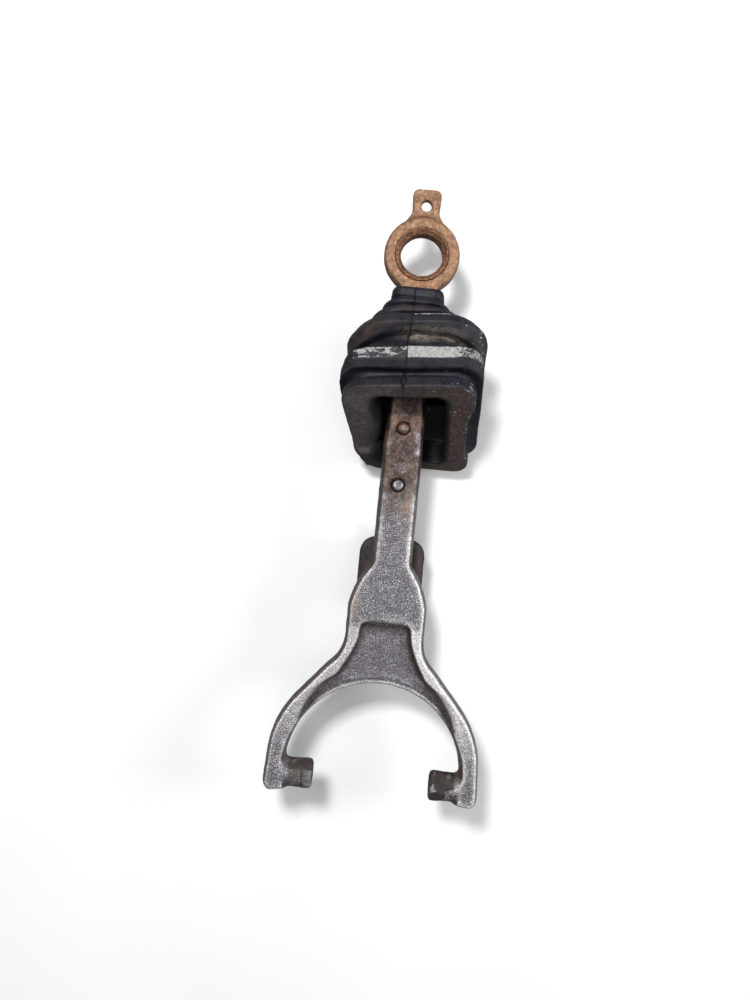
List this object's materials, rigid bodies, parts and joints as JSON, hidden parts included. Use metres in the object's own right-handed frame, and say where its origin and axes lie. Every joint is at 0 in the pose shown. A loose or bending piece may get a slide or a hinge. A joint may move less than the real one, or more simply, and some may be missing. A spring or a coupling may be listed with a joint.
{
  "type": "clutch release fork with dust boot",
  "caption": "Forged clutch release fork with a holed eye, two inward pads, a pivot socket and a sliding rubber dust boot.",
  "frame": {"origin": "centre of the pivot ball, at the mouth of the socket on the lever's back", "axes": "+Y along the arm from the pivot to the eye, +X across the fork, +Z out of the lever's front face"},
  "size_m": [0.1182, 0.3356, 0.0624],
  "materials": {
    "forged_steel": "dark forged steel with bright worn edges, rusty at the eye",
    "hardened_seat": "worn bare steel",
    "spring_steel": "dark oiled spring steel",
    "rivet_steel": "rusty and greasy rivet steel",
    "boot_rubber": "old black rubber, scuffed and dusty"
  },
  "bodies": {
    "lever": {"release_lever": "forged_steel", "eye_seat": "hardened_seat", "pivot_cup": "hardened_seat", "retaining_spring": "spring_steel", "rivet_upper": "rivet_steel", "rivet_lower": "rivet_steel", "rivet_lower_mandrel": "rivet_steel"},
    "boot_cuff": {"boot_neck": "boot_rubber", "boot_bellows": "boot_rubber"},
    "boot_rim": {"boot_flange": "boot_rubber"}
  },
  "joints": [
    {"name": "boot_slide", "type": "slide", "parent": "lever", "child": "boot_cuff", "axis": [0, 1, 0], "range_m": [-0.02, 0]},
    {"name": "boot_flex", "type": "hinge", "parent": "boot_cuff", "child": "boot_rim", "pos_m": [0, 0, 0], "axis": [1, 0, 0], "range_deg": [-4, 4], "stiffness_Nm_per_rad": 8, "deforming": ["boot_bellows"]}
  ]
}
